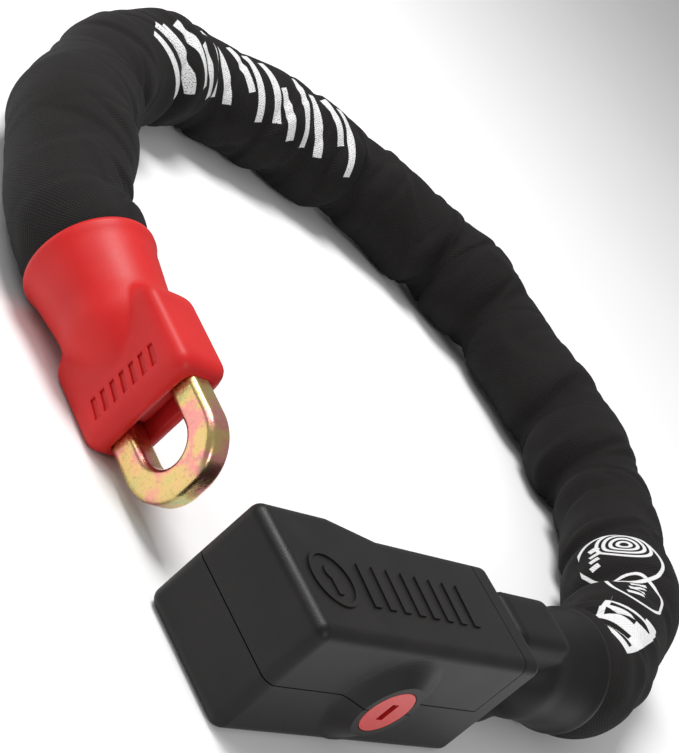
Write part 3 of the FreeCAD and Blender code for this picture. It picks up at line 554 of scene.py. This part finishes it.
def ring(middle_along, middle_around, radius, width):
    """Mask of a printed circle."""
    reach = ((along - middle_along) * (along - middle_along)
             + (around - middle_around) * (around - middle_around)).maths("SQRT")
    return (reach - radius).size().below(width / 2)


def together(masks):
    """Mask of everything that any of the masks covers."""
    whole = masks[0]
    for mask in masks[1:]:
        whole = whole.most(mask)
    return whole


# A row of plain slanted bars of three lengths is printed round the upper side of the loop.
print_start, print_end = 0.56 * sleeve_length, 0.765 * sleeve_length
low_edge, high_edge = 0.05 * girth, 0.27 * girth
bar_count = 15
pitch = (print_end - print_start) / bar_count
bars = []
for i in range(bar_count):
    foot = print_start + pitch * i
    drop = (0, 0.34, 0.12)[i % 3] * (high_edge - low_edge)
    start, end = (foot, low_edge + drop * (i % 2)), (foot + 1.1 * pitch, high_edge - drop * ((i + 1) % 2))
    bars.append(stroke(start, end, 0.0052))
worn_ink = weave.noise(lay, 1400, 3, 0.7).below(0.60, 0.05)
ink = together(bars) * worn_ink

# Near the lock a pale woven label with dark blocks and two ringed marks are sewn and printed on.
label_low, label_high = 0.135 * girth, 0.300 * girth
label_middle = (label_low + label_high) / 2
label = stroke((0.028, label_middle), (0.082, label_middle), label_high - label_low)
blocks = together([
    stroke((0.034 + 0.009 * i, label_low + 0.003),
           (0.036 + 0.009 * i, label_high - 0.003 - 0.004 * (i % 3)), 0.0042)
    for i in range(4)] + [stroke((0.070, label_low + 0.010), (0.088, label_low + 0.010), 0.020)])
marks = together([ring(0.146, 0.130 * girth, size, 0.0017) for size in (0.003, 0.0062, 0.0094, 0.0126)]
                 + [ring(0.136, 0.115 * girth, 0.0215, 0.0020), ring(0.106, 0.190 * girth, 0.0165, 0.0018)]
                 + [stroke((0.095 + 0.0055 * i, 0.165 * girth), (0.101 + 0.0055 * i, 0.215 * girth), 0.0024)
                    for i in range(4)]
                 + [stroke((0.126 + 0.006 * i, 0.035 * girth), (0.128 + 0.006 * i, 0.062 * girth), 0.0034)
                    for i in range(4)])
white = together([ink, label * (1 - blocks), marks])
weave.surface({"Base Color": weave.blend(white, cloth_colour_with_crest_highlight, (0.74, 0.74, 0.74)),
               "Roughness": fuzz * 0.15 + 0.72 - white * 0.12})
weave.relief(threads * 0.8 + fuzz * 0.35, 0.00035)


def cloth_piece(name, first, last):
    """Mesh of the sleeve between two stations, with its layout in metres as UVs."""
    rows = last - first + 1
    mesh = bpy.data.meshes.new(name)
    points = sleeve_points[first:last + 1].reshape(-1, 3)
    faces = []
    for row in range(rows - 1):
        for column in range(around_count):
            after = (column + 1) % around_count
            faces.append((row * around_count + column, row * around_count + after,
                          (row + 1) * around_count + after, (row + 1) * around_count + column))
    mesh.from_pydata(points.tolist(), [], faces)
    layout = mesh.uv_layers.new(name="cloth")
    uvs = []
    for row in range(rows - 1):
        low, high = stations[first + row], stations[first + row + 1]
        for column in range(around_count):
            start, stop = girth * column / around_count, girth * (column + 1) / around_count
            uvs += [(low, start), (low, stop), (high, stop), (high, start)]
    layout.data.foreach_set("uv", np.array(uvs).ravel())
    mesh.polygons.foreach_set("use_smooth", [True] * len(mesh.polygons))
    normals = sleeve_normals[first:last + 1].reshape(-1, 3)
    mesh.normals_split_custom_set_from_vertices(normals.tolist())
    mesh.materials.append(weave.material)
    return added(name, mesh)


middle_rows = [0]
for before, after in zip(bend_stations, bend_stations[1:]):
    middle_rows.append(int(np.argmin(np.abs(stations - (before + after) / 2))))
middle_rows.append(len(stations) - 1)
blend_share = 0.62
for i, joint in enumerate(joints):
    piece = cloth_piece(f"sleeve_{i + 1:02d}", middle_rows[i], middle_rows[i + 1])
    row = int(np.argmin(np.abs(stations - bend_stations[i])))
    steps = round(min(row - middle_rows[i], middle_rows[i + 1] - row) * blend_share)
    start = (*line[row - steps], chain_z)
    end = (*line[row + steps], chain_z)
    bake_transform(piece)
    sections = [f"sleeve_section_{i + 1:02d}"] + (["sleeve_section_15"] if i == len(joints) - 1 else [])
    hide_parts(*sections)


# ---- Boots ----
# Two soft moulded caps of one shape, black on the lock and red on the loose end. Each grips its end link
# in an upright box, with a tongue through the link's eye, and its round neck holds the sleeve's end.
soft_black = moulded("boot_black", (0.0062, 0.0056, 0.0055), (0.0120, 0.0108, 0.0106),
                     roughness=0.48, gloss=0.20, grain_depth=0.00006)
boot_red = moulded("boot_red", (0.50, 0.011, 0.011), (0.58, 0.018, 0.017),
                   roughness=0.46, gloss=0.26, grain_depth=0.00005)
box_height = lock_boot_high.z - lock_boot_low.z
box_thickness = 0.028
slot_clearance = 0.0003
slot_half_thickness = (link_high.y - link_low.y) / 2 + slot_clearance
slot_half_height = (link_high.z - link_low.z) / 2 + slot_clearance
neck = 0.0244
box_end = 0.047
around_boot = 144


def rounded_outline(half_y, half_z, power, count):
    """Outline between a rectangle and an ellipse: the higher the power, the squarer its corners."""
    points = []
    for i in range(count):
        turn = 2 * math.pi * i / count
        y, z = math.cos(turn), math.sin(turn)
        reach = ((abs(y) / half_y) ** power + (abs(z) / half_z) ** power) ** (-1 / power)
        points.append((reach * y, reach * z))
    return points


def merged(one, other, sharpness=36):
    """Outer outline of two that overlap. The sharper, the less the crease between them is filled."""
    points = []
    for (y, z), (v, w) in zip(one, other):
        near, far = sorted((math.hypot(y, z), math.hypot(v, w)))
        size = (near ** sharpness + far ** sharpness) ** (1 / sharpness)
        points.append((y * size / math.hypot(y, z), z * size / math.hypot(y, z)))
    return points


def boot_sections():
    """(distance from the box's face, outline) of each section, from inside the slot to inside the neck."""
    half_y, half_z = box_thickness / 2, box_height / 2
    edge = 0.0065
    back_length = 0.011
    saddle_end = neck - 0.0014
    sections = [(distance, rounded_outline(slot_half_thickness + gap, slot_half_height + gap, 8, around_boot))
                for distance, gap in ((0.012, 0), (0.0014, 0), (0.0004, 0.0006))]
    distances = [edge * (1 - math.cos(math.pi / 2 * i / 5)) for i in range(6)]
    distances += [edge + (0.050 - edge) * i / 26 for i in range(1, 27)]
    for distance in distances:
        front = edge * (1 - math.sqrt(1 - (1 - min(distance / edge, 1)) ** 2))
        back = min(max((distance - (box_end - back_length)) / back_length, 0), 1)
        shoulder = 0.012 * (1 - math.sqrt(1 - back * back)) + 0.010 * (distance > box_end)
        shell = rounded_outline(half_y - 0.85 * front - 0.4 * shoulder, half_z - front - shoulder,
                                7, around_boot)
        merge = ease((distance - 0.012) / 0.031)
        saddle = rounded_outline(0.010 + (saddle_end - 0.010) * merge ** 0.8,
                                 0.011 + (saddle_end - 0.011) * merge, 2, around_boot)
        sections.append((distance, merged(shell, saddle)))
    for distance, size in ((0.053, -0.0011), (0.058, -0.0005), (0.064, 0.0002), (0.070, 0.0009),
                           (0.0735, 0.0018), (0.0755, 0.0026), (0.0772, 0.0027), (0.0779, 0.0017),
                           (0.0775, 0.0002), (0.0745, -0.0008), (0.066, -0.0012)):
        sections.append((distance, rounded_outline(neck + size, neck + size, 2, around_boot)))
    return sections


def skin(shape, rings):
    """Faces between rings of vertices that follow one another."""
    for near, far in zip(rings, rings[1:]):
        for i in range(len(near)):
            after = (i + 1) % len(near)
            shape.faces.new((near[i], near[after], far[after], far[i]))


def rubber_piece(name, shape, finish):
    """Smooth object of one rubber, from a shape that is then freed."""
    mesh = bpy.data.meshes.new(name)
    shape.to_mesh(mesh)
    shape.free()
    mesh.polygons.foreach_set("use_smooth", [True] * len(mesh.polygons))
    mesh.materials.append(finish.material)
    return added(name, mesh)


def boot_shell(name, finish):
    """Outside of a boot, open at the slot and at the neck, with the box's face at x = 0."""
    shape = bmesh.new()
    skin(shape, [[shape.verts.new((distance, y, z + chain_z)) for y, z in outline]
                 for distance, outline in boot_sections()])
    return rubber_piece(name, shape, finish)


def boot_tongue(name, finish):
    """Rounded block of the same rubber that fills the link's eye inside the box."""
    shape = bmesh.new()
    half_width = 0.0045
    half_height = slot_half_height - wire - 0.0008
    rings = []
    for distance, inset in ((0.030, 0.0), (0.008, 0.0), (0.0062, 0.0006), (0.0052, 0.0016), (0.005, 0.0028)):
        outline = rounded_outline(half_width - inset, half_height - inset, 6, 48)
        rings.append([shape.verts.new((distance, y, z + chain_z)) for y, z in outline])
    skin(shape, rings)
    shape.faces.new(rings[-1])
    shape.faces.new(list(reversed(rings[0])))
    bmesh.ops.recalc_face_normals(shape, faces=shape.faces)
    return rubber_piece(name, shape, finish)


def sink_bars(piece):
    """Cut a row of slanted bars into both flat faces of a boot."""
    bar_depth, beyond_face = 0.0008, 0.004
    cutter_mesh = bpy.data.meshes.new("bar_cutter")
    shape = bmesh.new()
    for side in (1, -1):
        for i in range(7):
            foot = chain_z - 0.0175 + 0.0052 * i
            corners = [(0.0085, foot), (0.0085, foot + 0.0026),
                       (0.0170, foot + 0.0042), (0.0170, foot + 0.0016)]
            low, high = sorted((side * (box_thickness / 2 - bar_depth),
                                side * (box_thickness / 2 + beyond_face)))
            rings = [[shape.verts.new((x, y, z)) for x, z in corners] for y in (low, high)]
            shape.faces.new(rings[0])
            shape.faces.new(list(reversed(rings[1])))
            for k in range(4):
                shape.faces.new((rings[0][k], rings[1][k], rings[1][(k + 1) % 4], rings[0][(k + 1) % 4]))
    bmesh.ops.recalc_face_normals(shape, faces=shape.faces)
    shape.to_mesh(cutter_mesh)
    shape.free()
    cutter = added("bar_cutter", cutter_mesh)
    sink = piece.modifiers.new("bars", "BOOLEAN")
    sink.operation = "DIFFERENCE"
    sink.solver = "EXACT"
    sink.object = cutter
    shown = piece.evaluated_get(bpy.context.evaluated_depsgraph_get())
    sunk = bpy.data.meshes.new_from_object(shown)
    piece.modifiers.remove(sink)
    piece.data = sunk
    bpy.data.objects.remove(cutter)


def seat_boot(piece, face, heading):
    """Move a boot's mesh to where the box's face is, turned along its heading."""
    turn = math.atan2(heading.y, heading.x)
    place = Matrix.Translation((face.x, face.y, 0)) @ Matrix.Rotation(turn, 4, "Z")
    piece.data.transform(place)


lock_face = Vector((lock_boot_low.x, 0, 0))
for name, node, finish, slot, body, face, heading in (
        ("black_boot", "lock_boot", soft_black, "soft_black", "lock", lock_face, Vector((1, 0, 0))),
        ("red_boot", "end_boot", boot_red, "red_rubber", "red_end", loose_face, -loose_heading)):
    shell = boot_shell(name, finish)
    if body == "red_end":
        sink_bars(shell)
    tongue = boot_tongue(name + "_tongue", finish)
    for piece in (shell, tongue):
        seat_boot(piece, face, heading)
        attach(piece, body)
    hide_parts(node)


# ---- Table ----
# A plain pale table top, larger than the light falls on.
table = added("table", bpy.data.meshes.new("table"))
table_reach = 6.0
table.data.from_pydata([(middle.x + x * table_reach, middle.y + y * table_reach, 0) for x, y in
                        ((-1, -1), (1, -1), (1, 1), (-1, 1))], [], [(0, 1, 2, 3)])
table_top = Finish("table_top", {"Roughness": 0.9, "Specular IOR Level": 0.1})
table_top.surface({"Base Color": table_top.blend(table_top.noise(table_top.place(), 3, 2), (0.86, 0.86, 0.86),
                                                 (0.90, 0.90, 0.90))})
table.data.materials.append(table_top.material)
